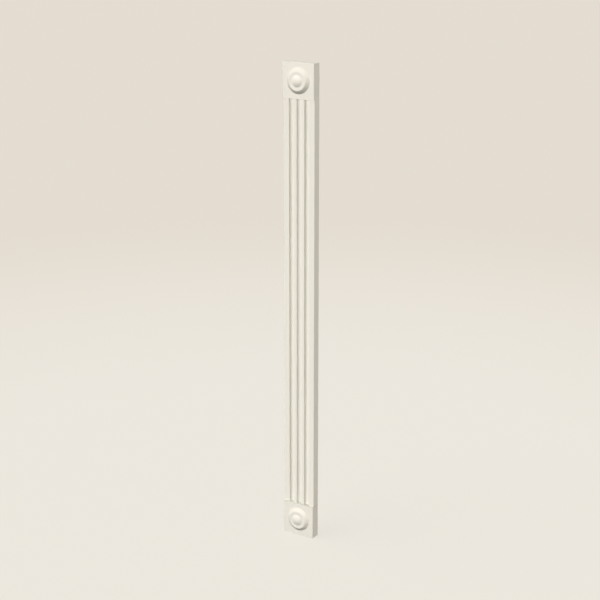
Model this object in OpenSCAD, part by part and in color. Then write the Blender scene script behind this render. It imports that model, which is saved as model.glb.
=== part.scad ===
// Fluted pilaster: a flat upright made to be fixed to a wall, a door frame
// or a cabinet. A fluted shaft butts square between two thicker blocks,
// and each block carries a turned rosette on its face.
// The origin is at the centre of the back face, which lies in the plane
// y = 0. The front faces -Y, and +Z is up.

/* [Overall] */
// Width of the shaft and of both blocks
pilaster_w = 76.2; // [74:0.1:120]
// Radius of the eased front edges
edge_r = 1; // [0.5:0.1:1.5]

/* [Shaft] */
// Length of the fluted shaft between the blocks
shaft_h = 914.4; // [300:0.1:2400]
// Thickness of the shaft, from the wall to its face
shaft_t = 19; // [14:0.5:40]

/* [Flutes] */
// Number of flutes side by side
flute_count = 3; // [1:1:3]
// Width of a flute at the face
flute_w = 12; // [6:0.1:16]
// Depth of a flute at its middle, at most half its width
flute_depth = 6; // [2:0.1:6]
// Distance between the centre lines of two flutes
flute_pitch = 19; // [17:0.1:24]

/* [Blocks] */
// Height of the top block
top_block_h = 76.2; // [62:0.1:160]
// Height of the bottom block
bottom_block_h = 76.2; // [62:0.1:260]
// Thickness of both blocks, from the wall to their face
block_t = 22.2; // [17:0.1:50]

/* [Rosettes] */
// Diameter of a rosette where it meets the block
rosette_d = 55; // [45:0.5:60]
// Width of the ring's outer slope, from its foot in to its crest
ring_slope_w = 9; // [6:0.1:10]
// Height of the ring's crest above the block
ring_h = 6; // [5.6:0.1:8]
// Radius that rounds the ring's crest
ring_round_r = 5; // [2:0.1:5]
// Width of the ring's inner slope, from its crest in to the valley
ring_inner_w = 4; // [3:0.1:5]
// Width of the flat valley between ring and button
valley_w = 2.5; // [0.5:0.1:3]
// Height of the valley above the block
valley_h = 5.5; // [5:0.1:5.6]
// Height of the domed button above the block
button_h = 9.4; // [7:0.1:11]

/* [Hidden] */
$fn = 96;
// Total height, and where each piece starts, measured from mid-height
total_h = bottom_block_h + shaft_h + top_block_h;
foot_z = -total_h / 2;
shaft_z = foot_z + bottom_block_h;
top_block_z = shaft_z + shaft_h;
// Radius of the round cutter that leaves a flute of that width and depth
flute_r = (pow(flute_w / 2, 2) + pow(flute_depth, 2)) / (2 * flute_depth);
// Distances from a rosette's axis to the ring's crest, to the ring's inner
// edge and to the button's edge
ring_crest_r = rosette_d / 2 - ring_slope_w;
ring_inner_r = ring_crest_r - ring_inner_w;
button_edge_r = ring_inner_r - valley_w;
// Radius of the button's dome, which meets the valley at the button's edge
dome_h = button_h - valley_h;
dome_r = (pow(button_edge_r, 2) + pow(dome_h, 2)) / (2 * dome_h);
// Colours of the painted wood, a shade apart so that the pieces read
paint = [0.925, 0.906, 0.860];
paint_shade = [0.900, 0.880, 0.830];

// Point where a line from p touches a circle, on its left (side = 1) or
// its right (side = -1) as seen from p
function touch(p, centre, r, side) =
    let (
        d = centre - p,
        along = sqrt(norm(d) * norm(d) - r * r),
        turn = atan2(d[1], d[0]) + side * asin(r / norm(d))
    )
    p + along * [cos(turn), sin(turn)];

// Outline of a flat bar against the wall, w across and t thick, with its
// two front corners rounded
module eased_outline(w, t) {
    translate([-w / 2, -(t - edge_r)])
        square([w, t - edge_r]);
    translate([-w / 2 + edge_r, -t])
        square([w - 2 * edge_r, t]);
    for (side = [-1, 1])
        translate([side * (w / 2 - edge_r), -t + edge_r])
            circle(r = edge_r);
}

// The fluted shaft: one moulded length, with flutes that run its full length
module fluted_shaft() {
    color(paint)
        translate([0, 0, shaft_z])
            linear_extrude(shaft_h)
                difference() {
                    eased_outline(pilaster_w, shaft_t);
                    for (i = [0 : flute_count - 1])
                        translate([
                            (i - (flute_count - 1) / 2) * flute_pitch,
                            flute_depth - flute_r - shaft_t
                        ])
                            circle(r = flute_r);
                }
}

// A block: flat, with all four edges of its face eased
module block(h) {
    intersection() {
        linear_extrude(h)
            eased_outline(pilaster_w, block_t);
        translate([-pilaster_w / 2, 0, h / 2])
            rotate([0, 90, 0])
                linear_extrude(pilaster_w)
                    eased_outline(h, block_t);
    }
}

module bottom_block() {
    color(paint_shade)
        translate([0, 0, foot_z])
            block(bottom_block_h);
}

module top_block() {
    color(paint_shade)
        translate([0, 0, top_block_z])
            block(top_block_h);
}

// Section of a rosette on one side of its axis: a ring with a round crest,
// which slopes outwards to the block and inwards to a narrow flat valley,
// and a domed button inside it
module rosette_section() {
    foot = [rosette_d / 2, 0];
    crest = [ring_crest_r, ring_h - ring_round_r];
    inner = [ring_inner_r, valley_h];
    polygon([
        [0, 0],
        foot,
        touch(foot, crest, ring_round_r, -1),
        crest,
        touch(inner, crest, ring_round_r, 1),
        inner,
        [0, valley_h]
    ]);
    intersection() {
        translate(crest)
            circle(r = ring_round_r);
        square([rosette_d / 2, ring_h]);
    }
    intersection() {
        translate([0, button_h - dome_r])
            circle(r = dome_r);
        square([button_edge_r, button_h]);
    }
}

// A rosette, turned about its axis and fixed to a block's face
module rosette(centre_z) {
    translate([0, -block_t, centre_z])
        rotate([90, 0, 0])
            rotate_extrude()
                rosette_section();
}

module bottom_rosette() {
    color(paint)
        rosette(foot_z + bottom_block_h / 2);
}

module top_rosette() {
    color(paint)
        rosette(top_block_z + top_block_h / 2);
}

fluted_shaft();
bottom_block();
top_block();
bottom_rosette();
top_rosette();
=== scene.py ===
# %% [markdown]
# # A fluted pilaster in painted wood
#
# A pilaster is a flat upright that is fixed to a wall, beside a door or to
# the corner of a cabinet. This one is made of five pieces, as a joiner makes
# it: a shaft with three flutes, a thicker square block at its head, another
# at its foot, and a turned rosette glued to the face of each block.
#
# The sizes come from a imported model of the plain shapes, which is loaded
# first. Each piece is then made again with the eased edges, the softened
# lips and the paint that the plain shapes lack, and it takes the place of
# its plain shape.

# %% Load the plain shapes and keep their box
import math

import bmesh
import bpy
from mathutils import Matrix, Vector


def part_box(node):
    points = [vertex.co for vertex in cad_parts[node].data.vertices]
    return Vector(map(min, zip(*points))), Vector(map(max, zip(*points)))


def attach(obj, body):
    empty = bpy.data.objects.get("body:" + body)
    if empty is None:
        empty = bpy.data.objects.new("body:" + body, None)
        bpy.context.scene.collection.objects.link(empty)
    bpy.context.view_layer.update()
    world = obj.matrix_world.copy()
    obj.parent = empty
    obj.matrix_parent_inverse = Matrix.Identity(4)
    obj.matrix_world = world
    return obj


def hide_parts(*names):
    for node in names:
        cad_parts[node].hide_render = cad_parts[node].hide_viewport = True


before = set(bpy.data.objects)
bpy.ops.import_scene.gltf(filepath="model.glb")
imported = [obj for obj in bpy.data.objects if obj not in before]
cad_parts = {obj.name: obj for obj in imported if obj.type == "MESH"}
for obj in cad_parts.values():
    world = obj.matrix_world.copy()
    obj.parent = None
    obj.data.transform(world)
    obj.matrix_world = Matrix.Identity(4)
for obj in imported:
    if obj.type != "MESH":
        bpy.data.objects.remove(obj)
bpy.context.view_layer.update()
MM = 0.001
scene = bpy.context.scene


def corners(node):
    """The lowest and highest corners of a plain shape, and its centre."""
    low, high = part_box(node)
    return low, high, (low + high) / 2


shaft_low, shaft_high, shaft_centre = corners("fluted_shaft")
foot_low = corners("bottom_block")[0]
head_high = corners("top_block")[1]
width = shaft_high.x - shaft_low.x
print("pilaster of", len(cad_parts), "plain shapes,", round(width / MM, 1), "mm wide,",
      round((head_high.z - foot_low.z) / MM, 1), "mm high")

# %% [markdown]
# ## The camera
#
# A long lens keeps the two long edges of the shaft nearly parallel. The
# camera stands a third of the way round to the right and looks a little
# down, so that the front, the right side and the top all show. It is turned
# by asking which way it must look to see one point near the middle, which is
# easier to get right than three angles.

# %% Place the camera
LENS_MM = 85
CAMERA_AT = Vector((1.5569, -2.4916, 0.9215))
CAMERA_AIM = Vector((-0.0025, -0.0111, 0.0205))

camera_data = bpy.data.cameras.new("Camera")
camera_data.lens = LENS_MM
camera = bpy.data.objects.new("Camera", camera_data)
camera.location = CAMERA_AT
camera.rotation_euler = (CAMERA_AIM - CAMERA_AT).to_track_quat("-Z", "Y").to_euler()
scene.collection.objects.link(camera)
scene.camera = camera
print("camera", round((CAMERA_AIM - CAMERA_AT).length, 2), "m from the pilaster")

# %% [markdown]
# ## Wiring up a material
#
# A material in Blender is a set of nodes joined by links. Joining them by
# hand takes three or four lines for each node, so a small helper class does
# it. After that, a material reads like a recipe: noise here, a blend there.

# %% Helpers that wire up a material
class Wiring:
    """Short ways to add nodes to one material."""

    def __init__(self, name):
        self.material = bpy.data.materials.new(name)
        self.material.use_nodes = True
        self.tree = self.material.node_tree
        self.tree.nodes.clear()

    def add(self, kind, **settings):
        """A new node of that kind."""
        node = self.tree.nodes.new("ShaderNode" + kind)
        for key, value in settings.items():
            setattr(node, key, value)
        return node

    def join(self, start, end):
        """A link from one socket to another."""
        self.tree.links.new(start, end)

    def noise(self, vector, scale, detail, roughness=0.5):
        """Cloudy noise between 0 and 1."""
        node = self.add("TexNoise")
        self.join(vector, node.inputs["Vector"])
        node.inputs["Scale"].default_value = scale
        node.inputs["Detail"].default_value = detail
        node.inputs["Roughness"].default_value = roughness
        return node.outputs["Fac"]

    def ramp(self, value, low, high, to_low, to_high):
        """Moves a value from one range to another."""
        node = self.add("MapRange")
        self.join(value, node.inputs["Value"])
        for socket, number in (("From Min", low), ("From Max", high),
                               ("To Min", to_low), ("To Max", to_high)):
            node.inputs[socket].default_value = number
        return node.outputs["Result"]

    def multiply(self, first, second):
        """One product. The second side is a socket or a number."""
        node = self.add("Math", operation="MULTIPLY")
        self.join(first, node.inputs[0])
        if isinstance(second, float):
            node.inputs[1].default_value = second
        else:
            self.join(second, node.inputs[1])
        return node.outputs["Value"]

    def blend(self, share, first, second):
        """A colour between two. Each colour is a socket or three numbers."""
        # The sockets of a Mix node share their names, so they go by number.
        node = self.add("Mix", data_type="RGBA")
        if isinstance(share, float):
            node.inputs[0].default_value = share
        else:
            self.join(share, node.inputs[0])
        for socket, side in zip((node.inputs[6], node.inputs[7]), (first, second)):
            if isinstance(side, tuple):
                socket.default_value = (*side, 1)
            else:
                self.join(side, socket)
        return node.outputs[2]


print("the wiring can add noise, ramps, products and blends")

# %% [markdown]
# ## The direction of the brush
#
# A brush leaves very fine furrows along the piece. What changes from piece to
# piece is their direction: along the shaft, up and down the blocks, and in
# rings on the turned rosettes, where the wood was sanded while it spun.
#
# Noise that is squeezed across the furrows and left long along them gives
# the straight kind. For the rings, the noise reads only the distance from the
# rosette's axis, so it is the same all the way round.

# %% Two kinds of furrow
SHAFT_FURROWS = (1500.0, 1500.0, 9.0)
BLOCK_FURROWS = (1300.0, 1300.0, 14.0)
RING_FURROWS = 2400.0
FURROW_EDGE = 0.6
ACROSS_THE_AXIS = (1, 0, 1)


def furrows_along(wiring, place, stretch):
    """Fine brush furrows, long in the direction where stretch is small."""
    mapping = wiring.add("Mapping")
    wiring.join(place, mapping.inputs["Vector"])
    mapping.inputs["Scale"].default_value = stretch
    return wiring.noise(mapping.outputs["Vector"], scale=1.0, detail=4.0,
                        roughness=FURROW_EDGE)


def furrows_round(wiring, place, centre):
    """Fine rings about the axis of a turned piece, which runs front to back."""
    mapping = wiring.add("Mapping")
    wiring.join(place, mapping.inputs["Vector"])
    mapping.inputs["Location"].default_value = -centre
    flat = wiring.add("VectorMath", operation="MULTIPLY")
    wiring.join(mapping.outputs["Vector"], flat.inputs[0])
    flat.inputs[1].default_value = ACROSS_THE_AXIS
    radius = wiring.add("VectorMath", operation="LENGTH")
    wiring.join(flat.outputs["Vector"], radius.inputs[0])
    along = wiring.add("CombineXYZ")
    wiring.join(wiring.multiply(radius.outputs["Value"], RING_FURROWS), along.inputs["X"])
    return wiring.noise(along.outputs["Vector"], scale=1.0, detail=3.0,
                        roughness=FURROW_EDGE)


print("about", round(RING_FURROWS * MM, 1), "furrows to the millimetre on a rosette")

# %% [markdown]
# ## The paint
#
# Ready-made mouldings like this are sprayed or brushed with an off-white
# satin paint. Three things keep such a surface from looking like plastic: the
# brush furrows, a faint ripple in the dry film that is called orange peel,
# and a slow drift in colour where the film is thicker. All three are small.
# The colour moves by a hundredth or two, and furrows and ripple are a few
# hundredths of a millimetre deep.
#
# A picture of brushed paint could be wrapped round each piece, but noise
# nodes draw the same detail at any size, in its true scale and without a
# file. One function makes the paint for every piece. Two attributes on the
# mesh guide the colour. The first is painted shade: where shade falls, as in
# the bottom of a groove, the paint is drawn a shade greyer. On the eased
# edges, where the film is thin, it is drawn a shade lighter, which is also a
# faint painted highlight.

# %% The paint itself
PAINT = (0.846, 0.806, 0.715)
PAINT_WARM = (0.832, 0.788, 0.687)
# Thin film on eased edges, drawn lighter: partly wear, partly a painted highlight.
PAINT_THIN_HIGHLIGHT = (0.852, 0.818, 0.736)
# Painted shade: the greyer colour put where shade falls, on ledges, rims and groove
# bottoms.
PAINT_SHADE = (0.600, 0.578, 0.505)
# Painted shade in the flutes, a cooler grey.
PAINT_SHADE_IN_FLUTE = (0.655, 0.660, 0.625)
NOISE_LOW, NOISE_HIGH = 0.3, 0.7
DRIFT_SIZE = 11.0
DRIFT_MOST = 0.5
PEEL_SIZE = 900.0
PEEL_DEPTH = 0.03 * MM
FURROW_DEPTH = 0.04 * MM
THIN_HIGHLIGHT_LOW, THIN_HIGHLIGHT_HIGH = 0.35, 0.6
THIN_HIGHLIGHT_LEAST = 0.3
SHINE = 0.16
SMOOTHEST, ROUGHEST = 0.46, 0.58


def ripple(wiring, height, depth, under=None):
    """A bump of that depth, on top of another bump if there is one."""
    bump = wiring.add("Bump")
    bump.inputs["Distance"].default_value = depth
    wiring.join(height, bump.inputs["Height"])
    if under is not None:
        wiring.join(under, bump.inputs["Normal"])
    return bump.outputs["Normal"]


def satin_paint(name, furrows, setting, shade_colour=PAINT_SHADE):
    """Off-white satin paint whose furrows run as the piece was finished."""
    w = Wiring(name)
    place = w.add("TexCoord").outputs["Object"]
    lines = furrows(w, place, setting)
    drift = w.noise(place, scale=DRIFT_SIZE, detail=3.0)
    peel = w.noise(place, scale=PEEL_SIZE, detail=2.0)
    # This attribute marks where the paint is darkened as painted shade.
    painted_shade = w.add("Attribute", attribute_name="painted_shade").outputs["Fac"]
    # This attribute marks the eased edges, drawn lighter as thin film and painted
    # highlight.
    thin_edge_highlight = w.add("Attribute", attribute_name="thin_edge_highlight").outputs["Fac"]

    warmer = w.ramp(drift, NOISE_LOW, NOISE_HIGH, 0.0, DRIFT_MOST)
    worn_highlight = w.multiply(thin_edge_highlight, w.ramp(lines, THIN_HIGHLIGHT_LOW, THIN_HIGHLIGHT_HIGH, THIN_HIGHLIGHT_LEAST, 1.0))
    colour = w.blend(warmer, PAINT, PAINT_WARM)
    # Eased edges go lighter, streaked by the furrows: thin film and a painted highlight.
    colour = w.blend(worn_highlight, colour, PAINT_THIN_HIGHLIGHT)
    # Painted shade: the colour goes greyer where the mesh is marked.
    colour = w.blend(painted_shade, colour, shade_colour)

    furrowed = ripple(w, lines, FURROW_DEPTH)
    roughness = w.ramp(lines, NOISE_LOW, NOISE_HIGH, SMOOTHEST, ROUGHEST)
    shader = w.add("BsdfPrincipled")
    shader.inputs["Specular IOR Level"].default_value = SHINE
    w.join(colour, shader.inputs["Base Color"])
    w.join(roughness, shader.inputs["Roughness"])
    w.join(ripple(w, peel, PEEL_DEPTH, furrowed), shader.inputs["Normal"])
    output = w.add("OutputMaterial")
    w.join(shader.outputs["BSDF"], output.inputs["Surface"])
    print(name, "has", len(w.tree.nodes), "nodes")
    return w.material


# The shaft's painted shade, in its flutes, is a cooler grey.
shaft_paint = satin_paint("shaft_paint", furrows_along, SHAFT_FURROWS, PAINT_SHADE_IN_FLUTE)
block_paint = satin_paint("block_paint", furrows_along, BLOCK_FURROWS)

# %% [markdown]
# ## Turning a shape into a piece
#
# Each shape is drawn in a bmesh, which is Blender's workshop for meshes. When
# a shape is done it becomes an object: it gets its paint, it takes the place
# of its plain shape, and it is fixed to the pilaster's one body. Only curved
# faces are smoothed, because a flat face that is smoothed picks up the lean
# of the rounded edge beside it and looks pillowed. The edge between a flat
# face and a smooth one is marked as sharp, or a flute's long faces would
# borrow the tilt of the shaft's square ends.

# %% Helpers that start and finish a piece
def start_shape():
    """An empty bmesh that can hold the two numbers the paint reads."""
    bm = bmesh.new()
    # The two numbers are painted shade, and thin paint on eased edges drawn lighter as a
    # painted highlight.
    for name in ("painted_shade", "thin_edge_highlight"):
        bm.verts.layers.float.new(name)
    return bm


def mark(bm, name, verts, amount=1.0):
    """Writes a number on some vertices, for the paint to read."""
    layer = bm.verts.layers.float[name]
    for v in verts:
        v[layer] = amount


def finish_piece(bm, name, stands_for, paint):
    """Makes the piece from its bmesh and puts it in the plain shape's place."""
    bmesh.ops.recalc_face_normals(bm, faces=bm.faces[:])
    for edge in bm.edges:
        edge.smooth = all(face.smooth for face in edge.link_faces)
    mesh = bpy.data.meshes.new(name)
    bm.to_mesh(mesh)
    bm.free()
    mesh.materials.append(paint)
    piece = bpy.data.objects.new(name, mesh)
    scene.collection.objects.link(piece)
    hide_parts(stands_for)
    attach(piece, "root")
    size = [round(side / MM, 1) for side in piece.dimensions]
    print(name, size, "mm,", len(mesh.polygons), "faces")
    return piece


# %% [markdown]
# ### Arcs and eased edges
#
# Two of Blender's operators do most of the shaping. Spin works like a pair of
# compasses: it takes a point round a centre and leaves an arc behind. Bevel
# does what sandpaper does to a sharp edge. A Bevel modifier would round every
# edge of a piece alike, so the operator is used, on chosen edges.

# %% Helpers that draw an arc and ease an edge
def swing(bm, start, centre, angle, steps):
    """Spins one point about an upright axis and gives the arc's last point."""
    arc = bmesh.ops.spin(bm, geom=[start], cent=centre, axis=(0, 0, 1), angle=angle,
                         steps=steps, use_duplicate=False)
    return next(part for part in arc["geom_last"] if isinstance(part, bmesh.types.BMVert))


def ease(bm, edges, radius, segments):
    """Rounds some edges, smooths the new faces and marks their paint as thin and as a
    painted highlight.
    """
    result = bmesh.ops.bevel(bm, geom=edges, offset=radius, offset_type="OFFSET",
                             affect="EDGES", segments=segments, profile=0.5,
                             material=-1, clamp_overlap=True)
    rounded = set(result["faces"])
    touched = {v for face in rounded for v in face.verts}
    for face in rounded:
        face.smooth = True
    # The eased edges' paint is drawn lighter: thin film and a faint painted highlight.
    mark(bm, "thin_edge_highlight", [v for v in touched if rounded.issuperset(v.link_faces)])


# %% [markdown]
# ## The fluted shaft
#
# A shaft like this is one length of wood run past a shaped cutter, so its
# section is the same from end to end. That is also the easiest way to make
# it: draw the section once, fill it, and pull it up to the shaft's height.
# Cutting the flutes out of a box with cylinders would do too, but it leaves
# thin slivers of faces along the cuts. Each flute is half a circle, drawn by
# spinning one point about the flute's axis.

# %% Draw the section of the shaft
FLUTES = 3
FLUTE_RADIUS = 6.0 * MM
FLUTE_PITCH = 19.0 * MM
FLUTE_STEPS = 28


def front_line(bm, y, z):
    """The front of the section from left to right, with its flutes."""
    first = bm.verts.new((shaft_low.x, y, z))
    last = first
    for number in range(FLUTES):
        axis_x = (number - (FLUTES - 1) / 2) * FLUTE_PITCH
        lip = bm.verts.new((axis_x - FLUTE_RADIUS, y, z))
        bm.edges.new((last, lip))
        last = swing(bm, lip, (axis_x, y, z), -math.pi, FLUTE_STEPS)
    corner = bm.verts.new((shaft_high.x, y, z))
    bm.edges.new((last, corner))
    return first, corner


bm = start_shape()
left, right = front_line(bm, shaft_low.y, shaft_low.z)
back = [bm.verts.new((x, shaft_high.y, shaft_low.z)) for x in (right.co.x, left.co.x)]
for start, end in ((right, back[0]), (back[0], back[1]), (back[1], left)):
    bm.edges.new((start, end))
section = bmesh.ops.contextual_create(bm, geom=bm.edges[:])["faces"]
print("the section has", len(bm.verts), "points and", len(section), "face")

# %% [markdown]
# ### From the section to the shaft
#
# The filled section is pulled up to the shaft's height. Two extra cuts near
# the ends give the paint somewhere to change. The bottom of each flute is
# drawn a little greyer as painted shade, and the last few millimetres, where
# the flute stops against a block, greyer still. At the foot, the painted
# shade runs along the whole curve of the flute.

# %% Pull the section up
HAIR = 0.01 * MM
END_FADE = 4.0 * MM
# How much painted shade goes in the flutes, at their ends and at the foot.
FLUTE_SHADE = 0.35
END_SHADE = 1.0
FOOT_CORNER_SHADE = 0.5


def depth_in_flute(point):
    """How far a point is sunk in a flute, from 0 at the front to 1 at the bottom."""
    return max(0.0, min(1.0, (point.y - shaft_low.y) / FLUTE_RADIUS))


def in_flute(point):
    """True for a point on the round wall of a flute."""
    across = (point.x + FLUTE_PITCH / 2) % FLUTE_PITCH - FLUTE_PITCH / 2
    reach = math.hypot(across, point.y - shaft_low.y)
    return abs(point.x) < FLUTES * FLUTE_PITCH / 2 and reach < FLUTE_RADIUS + HAIR


raised = bmesh.ops.extrude_face_region(bm, geom=section)["geom"]
raised_verts = [part for part in raised if isinstance(part, bmesh.types.BMVert)]
bmesh.ops.translate(bm, verts=raised_verts, vec=(0, 0, shaft_high.z - shaft_low.z))
for z in (shaft_low.z + END_FADE, shaft_high.z - END_FADE):
    bmesh.ops.bisect_plane(bm, geom=bm.verts[:] + bm.edges[:] + bm.faces[:],
                           plane_co=(0, 0, z), plane_no=(0, 0, 1))
bmesh.ops.recalc_face_normals(bm, faces=bm.faces[:])

for face in bm.faces:
    if len(face.verts) == 4 and all(in_flute(v.co) for v in face.verts):
        face.smooth = True
# Painted shade, deepest at the bottom of each flute and at its ends.
for v in [v for v in bm.verts if in_flute(v.co)]:
    at_foot = v.co.z - shaft_low.z < HAIR
    at_end = at_foot or shaft_high.z - v.co.z < HAIR
    amount = depth_in_flute(v.co) * (END_SHADE if at_end else FLUTE_SHADE)
    mark(bm, "painted_shade", [v], max(amount, FOOT_CORNER_SHADE) if at_foot else amount)
print("pulled up to", round((shaft_high.z - shaft_low.z) / MM, 1), "mm")

# %% [markdown]
# ### Softer edges
#
# The cutter leaves the two long front edges eased. Sanding between coats
# softens the lips of the flutes, and the back edges keep only a touch of
# rounding, because they go against the wall.

# %% Ease the shaft's edges
LONG_EDGE_EASE = 1.0 * MM
BACK_EDGE_EASE = 0.5 * MM
LIP_EASE = 0.35 * MM

upright = [e for e in bm.edges if abs(e.verts[0].co.z - e.verts[1].co.z) > HAIR]
long_edges = [e for e in upright if abs(abs(e.verts[0].co.x) - width / 2) < HAIR]
front_edges = [e for e in long_edges if e.verts[0].co.y < shaft_centre.y]
back_edges = [e for e in long_edges if e.verts[0].co.y > shaft_centre.y]
lips = [e for e in upright
        if abs(e.verts[0].co.y - shaft_low.y) < HAIR and e not in long_edges]
ease(bm, front_edges, LONG_EDGE_EASE, segments=5)
ease(bm, back_edges, BACK_EDGE_EASE, segments=3)
ease(bm, lips, LIP_EASE, segments=3)
shaft = finish_piece(bm, "Fluted_Shaft", "fluted_shaft", shaft_paint)

# %% [markdown]
# ## The two blocks
#
# The blocks are plain squares of thicker board. They stand proud of the
# shaft, which hides the joint, and the flutes stop against them without any
# end of their own. A cube scaled to size is enough, once all its edges are
# eased: the eased edges catch the light and tell the eye that the block is
# a separate piece. The whole foot is drawn a shade greyer than the head, and
# the narrow ledge at its top is drawn greyer still, as painted shade.

# %% Make the blocks
BLOCK_EASE = 0.6 * MM
LEDGE_BAND = 0.9 * BLOCK_EASE
# Painted shade on the foot's ledge, and a greyer tone over the whole foot.
LEDGE_SHADE = 1.0
FOOT_DARKER = 0.11


def block(name, node):
    """A square block with eased edges, in the place of its plain shape."""
    low, high, centre = corners(node)
    bm = start_shape()
    bmesh.ops.create_cube(bm, size=1.0)
    bmesh.ops.scale(bm, vec=high - low, verts=bm.verts[:])
    bmesh.ops.translate(bm, vec=centre, verts=bm.verts[:])
    ease(bm, bm.edges[:], BLOCK_EASE, segments=4)
    if centre.z < 0:
        # The whole foot is drawn a shade greyer, and its ledge darker still as painted
        # shade.
        ledge = [v for v in bm.verts if high.z - v.co.z < LEDGE_BAND]
        mark(bm, "painted_shade", bm.verts, FOOT_DARKER)
        mark(bm, "painted_shade", ledge, LEDGE_SHADE)
    return finish_piece(bm, name, node, block_paint)


foot_block = block("Foot_Block", "bottom_block")
head_block = block("Head_Block", "top_block")

# %% [markdown]
# ## The rosettes
#
# A rosette is turned on a lathe. Its face has a broad ring with a rounded
# crest, a narrow valley, and a domed button in the middle. A torus and a
# sphere come close, but they would have to be joined in the valley. Drawing
# half of the profile and spinning it, as the lathe does, gives one clean
# face. Two straight slopes just touch the arc of the ring's crest, and the
# dome is an arc that ends on the axis.

# %% Draw half a profile
RING_OUTER = 27.5 * MM
RING_CREST = 18.5 * MM
RING_INNER = 14.5 * MM
RING_HEIGHT = 6.0 * MM
RING_ROUND = 5.0 * MM
VALLEY_HEIGHT = 5.5 * MM
BUTTON_EDGE = 12.0 * MM
BUTTON_HEIGHT = 9.4 * MM
CREST_STEPS = 10
DOME_STEPS = 14


def touch(start, centre, radius, side):
    """Where a straight line from start just touches a circle."""
    reach = centre - start
    share = (reach.length ** 2 - radius ** 2) ** 0.5
    lean = side * math.asin(radius / reach.length)
    return start + Matrix.Rotation(lean, 2) @ reach.normalized() * share


def on_block(base, place):
    """A place in the profile, given as distance from the axis and height."""
    return base + Vector((place.x, -place.y, 0))


def draw_arc(bm, base, start, centre, end, steps):
    """Draws an arc of the profile and gives its two end points."""
    first = bm.verts.new(on_block(base, start))
    turn = (start - centre).angle_signed(end - centre)
    return first, swing(bm, first, on_block(base, centre), turn, steps)


def draw_profile(bm, base):
    """Half the section of a rosette, from its rim to its axis."""
    rim = Vector((RING_OUTER, 0))
    inner = Vector((RING_INNER, VALLEY_HEIGHT))
    crest = Vector((RING_CREST, RING_HEIGHT - RING_ROUND))
    ring = draw_arc(bm, base, touch(rim, crest, RING_ROUND, -1), crest,
                    touch(inner, crest, RING_ROUND, 1), CREST_STEPS)
    rise = BUTTON_HEIGHT - VALLEY_HEIGHT
    dome_radius = (BUTTON_EDGE ** 2 + rise ** 2) / (2 * rise)
    button = draw_arc(bm, base, Vector((BUTTON_EDGE, VALLEY_HEIGHT)),
                      Vector((0, BUTTON_HEIGHT - dome_radius)),
                      Vector((0, BUTTON_HEIGHT)), DOME_STEPS)
    edge = bm.verts.new(on_block(base, rim))
    valley = bm.verts.new(on_block(base, inner))
    for pair in ((edge, ring[0]), (ring[1], valley), (valley, button[0])):
        bm.edges.new(pair)


trial = bmesh.new()
draw_profile(trial, Vector((0, 0, 0)))
print("the profile has", len(trial.verts), "points and rises",
      round(-min(v.co.y for v in trial.verts) / MM, 2), "mm")
trial.free()

# %% [markdown]
# ### On the lathe
#
# A full turn of the profile makes the face of the rosette, and filling the
# open rim closes its back. The ring's outer slope is drawn a little greyer
# towards the block as painted shade, most of all on its lower side, which
# faces down. The foot's rosette is a shade greyer all over. Each rosette has
# its own paint, because the rings of its furrows need its centre.

# %% Spin the rosettes
SPIN_STEPS = 128
SAME_POINT = 0.001 * MM
RING_RUN = 2.0 * MM
# Painted shade on the ring's outer slope, deepest on its lower side.
RIM_SHADE = 0.2
UNDERSIDE_SHADE = 0.7


def rosette(name, node):
    """A turned rosette, in the place of its plain shape."""
    low, high, centre = corners(node)
    base = Vector((centre.x, high.y, centre.z))
    bm = start_shape()
    draw_profile(bm, base)
    bmesh.ops.spin(bm, geom=bm.verts[:] + bm.edges[:], cent=base, axis=(0, 1, 0),
                   angle=2 * math.pi, steps=SPIN_STEPS, use_merge=True)
    bmesh.ops.remove_doubles(bm, verts=bm.verts[:], dist=SAME_POINT)
    for face in bm.faces:
        face.smooth = True
    # The foot's rosette is drawn a shade greyer all over.
    if centre.z < 0:
        mark(bm, "painted_shade", bm.verts, FOOT_DARKER)
    # Painted shade on the outer slope, darker where it faces down.
    for v in bm.verts:
        across, up = v.co.x - base.x, v.co.z - base.z
        reach = math.hypot(across, up)
        if reach > RING_CREST + RING_RUN:
            below = max(0.0, -up / reach)
            mark(bm, "painted_shade", [v], RIM_SHADE + UNDERSIDE_SHADE * below)
    open_rim = [e for e in bm.edges if e.is_boundary]
    for back_face in bmesh.ops.contextual_create(bm, geom=open_rim)["faces"]:
        back_face.smooth = False
    paint = satin_paint(name.lower() + "_paint", furrows_round, base)
    return finish_piece(bm, name, node, paint)


foot_rosette = rosette("Foot_Rosette", "bottom_rosette")
head_rosette = rosette("Head_Rosette", "top_rosette")

# %% [markdown]
# ## Floor and backdrop
#
# The pilaster stands on a wide pale floor. A studio's curved backdrop would
# get in the way of anyone who walks round the piece, so the floor is flat, and
# its tone fades to the tone of the backdrop with distance from the pilaster's
# foot. No horizon shows from any side. Nearly all of the floor's tone is its
# own glow, which keeps it even. A small share comes from a lamp, and that
# share is what the pilaster's faint, wide shadow takes away.

# %% The floor's tone
BLACK = (0.0, 0.0, 0.0)
FLOOR_NEAR = (0.838, 0.800, 0.730)
FLOOR_FAR = (0.775, 0.716, 0.637)
FADE_FROM = 0.94
FADE_TO = 3.11
FLOOR_GLOW = 0.922
LIT_SHARE = 0.085


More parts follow.
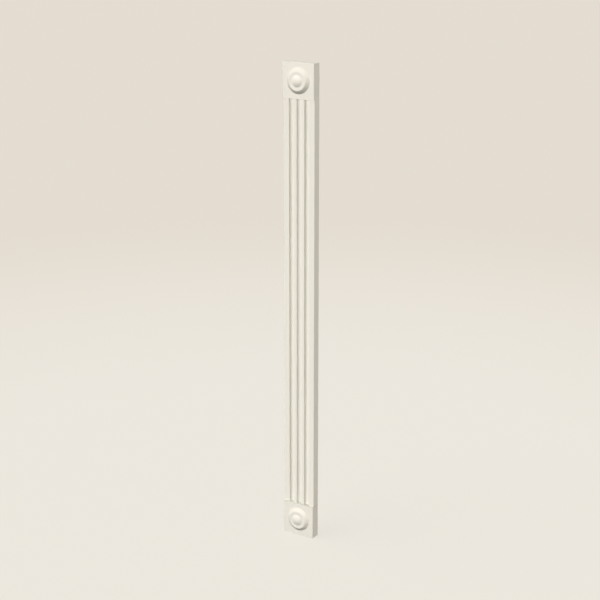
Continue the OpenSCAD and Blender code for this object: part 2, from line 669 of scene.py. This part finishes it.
def floor_material():
    """A pale floor that fades to the backdrop's tone with distance."""
    w = Wiring("pale_floor")
    place = w.add("TexCoord").outputs["Object"]
    mapping = w.add("Mapping")
    w.join(place, mapping.inputs["Vector"])
    mapping.inputs["Location"].default_value = (0, 0, -foot_low.z)
    distance = w.add("VectorMath", operation="LENGTH")
    w.join(mapping.outputs["Vector"], distance.inputs[0])
    fade = w.add("MapRange", interpolation_type="SMOOTHSTEP")
    w.join(distance.outputs["Value"], fade.inputs["Value"])
    fade.inputs["From Min"].default_value = FADE_FROM
    fade.inputs["From Max"].default_value = FADE_TO
    tone = w.blend(fade.outputs["Result"], FLOOR_NEAR, FLOOR_FAR)
    glow = w.add("Emission")
    w.join(tone, glow.inputs["Color"])
    glow.inputs["Strength"].default_value = FLOOR_GLOW
    lit = w.add("BsdfDiffuse")
    w.join(w.blend(LIT_SHARE, BLACK, tone), lit.inputs["Color"])
    both = w.add("AddShader")
    w.join(glow.outputs[0], both.inputs[0])
    w.join(lit.outputs[0], both.inputs[1])
    output = w.add("OutputMaterial")
    w.join(both.outputs[0], output.inputs["Surface"])
    return w.material


pale_floor = floor_material()
print("the floor fades between", FADE_FROM, "and", FADE_TO, "m from the foot")

# %% Lay the floor
FLOOR_RADIUS = 14.0
FLOOR_SIDES = 96

bm = bmesh.new()
bmesh.ops.create_circle(bm, cap_ends=True, radius=FLOOR_RADIUS, segments=FLOOR_SIDES)
bmesh.ops.translate(bm, vec=(0, 0, foot_low.z), verts=bm.verts[:])
floor_mesh = bpy.data.meshes.new("Floor")
bm.to_mesh(floor_mesh)
bm.free()
floor_mesh.materials.append(pale_floor)
floor = bpy.data.objects.new("Floor", floor_mesh)
scene.collection.objects.link(floor)
floor.visible_diffuse = False
floor.visible_shadow = False
print("floor", 2 * FLOOR_RADIUS, "m across")

# %% [markdown]
# ## Light
#
# Pale paint shows its shape only if the light comes from more than one side
# at different strengths. The key stands to the left of the front and the
# crown to its right and higher, so the top of each rosette shines and its
# lower rim goes dark. Neither casts a shadow, or there would be a dark band
# under the head block. A weak lamp from above lights the top of the head. The
# side lamp keeps the right side a clear step below the front. The left and
# back lamps are there for anyone who walks round the piece.
#
# A lamp close to a piece this tall would light its near end more than its far
# end. Each lamp is a sun instead, which lights the whole length evenly, with a
# wide angle so that any shadow is soft. These lamps leave the floor alone. The
# floor has a lamp of its own, and so it shows one faint shadow and not several.

# %% Place the lamps
WHITE = (1.0, 1.0, 1.0)
WARM = (1.0, 0.975, 0.93)
LAMPS = (
    # name, degrees round from the front, degrees up, strength, softness, tint, shadow
    ("Key", -30, 24, 0.73, 25, WHITE, False),
    ("Crown", 25, 34, 0.41, 25, WHITE, False),
    ("Top", -48, 64, 0.10, 30, WHITE, True),
    ("Side", 90, 10, 0.35, 25, WARM, True),
    ("Left", -120, 10, 0.24, 25, WHITE, True),
    ("Back", 180, 5, 0.64, 40, WHITE, True),
)
FLOOR_LAMP = ("Floor_Lamp", -48, 64, 1.0, 42, WHITE, True)

pieces = bpy.data.collections.new("Pilaster")
for piece in (shaft, foot_block, head_block, foot_rosette, head_rosette):
    pieces.objects.link(piece)
ground = bpy.data.collections.new("Ground")
ground.objects.link(floor)


def lamp(receivers, name, around, up, strength, softness, tint, shadow):
    """A sun from that direction, which lights only the receivers."""
    data = bpy.data.lights.new(name, "SUN")
    data.energy = strength * math.pi
    data.color = tint
    data.angle = math.radians(softness)
    data.use_shadow = shadow
    sun = bpy.data.objects.new(name, data)
    turn, lift = math.radians(around), math.radians(up)
    towards = Vector((math.sin(turn) * math.cos(lift), -math.cos(turn) * math.cos(lift),
                      math.sin(lift)))
    sun.rotation_euler = (-towards).to_track_quat("-Z", "Y").to_euler()
    scene.collection.objects.link(sun)
    sun.light_linking.receiver_collection = receivers


for row in LAMPS:
    lamp(pieces, *row)
lamp(ground, *FLOOR_LAMP)
print(len(LAMPS), "lamps for the pilaster and one for the floor")

# %% [markdown]
# ## The world
#
# What the camera, and any shiny reflection, sees beyond the floor is the
# backdrop's own tone. The light that the world gives is a separate and much
# weaker glow, so that the backdrop can be pale without washing out the
# paint. The Standard view keeps every tone about as it is written.

# %% Set up the world
WORLD_GLOW = 0.03
BACKDROP_GLOW = 1.0

world = bpy.data.worlds.new("Studio")
scene.world = world
world.use_nodes = True
tree = world.node_tree
tree.nodes.clear()


def background(colour, strength):
    """One even background."""
    node = tree.nodes.new("ShaderNodeBackground")
    node.inputs["Color"].default_value = (*colour, 1)
    node.inputs["Strength"].default_value = strength
    return node.outputs[0]


rays = tree.nodes.new("ShaderNodeLightPath")
seen = rays.outputs["Is Camera Ray"]
for kind in ("Is Glossy Ray", "Is Transmission Ray"):
    either = tree.nodes.new("ShaderNodeMath")
    either.operation = "MAXIMUM"
    tree.links.new(seen, either.inputs[0])
    tree.links.new(rays.outputs[kind], either.inputs[1])
    seen = either.outputs[0]
choose = tree.nodes.new("ShaderNodeMixShader")
tree.links.new(seen, choose.inputs[0])
tree.links.new(background(WHITE, WORLD_GLOW), choose.inputs[1])
tree.links.new(background(FLOOR_FAR, BACKDROP_GLOW), choose.inputs[2])
world_output = tree.nodes.new("ShaderNodeOutputWorld")
tree.links.new(choose.outputs[0], world_output.inputs["Surface"])
scene.view_settings.view_transform = "Standard"
print("the world has", len(tree.nodes), "nodes")
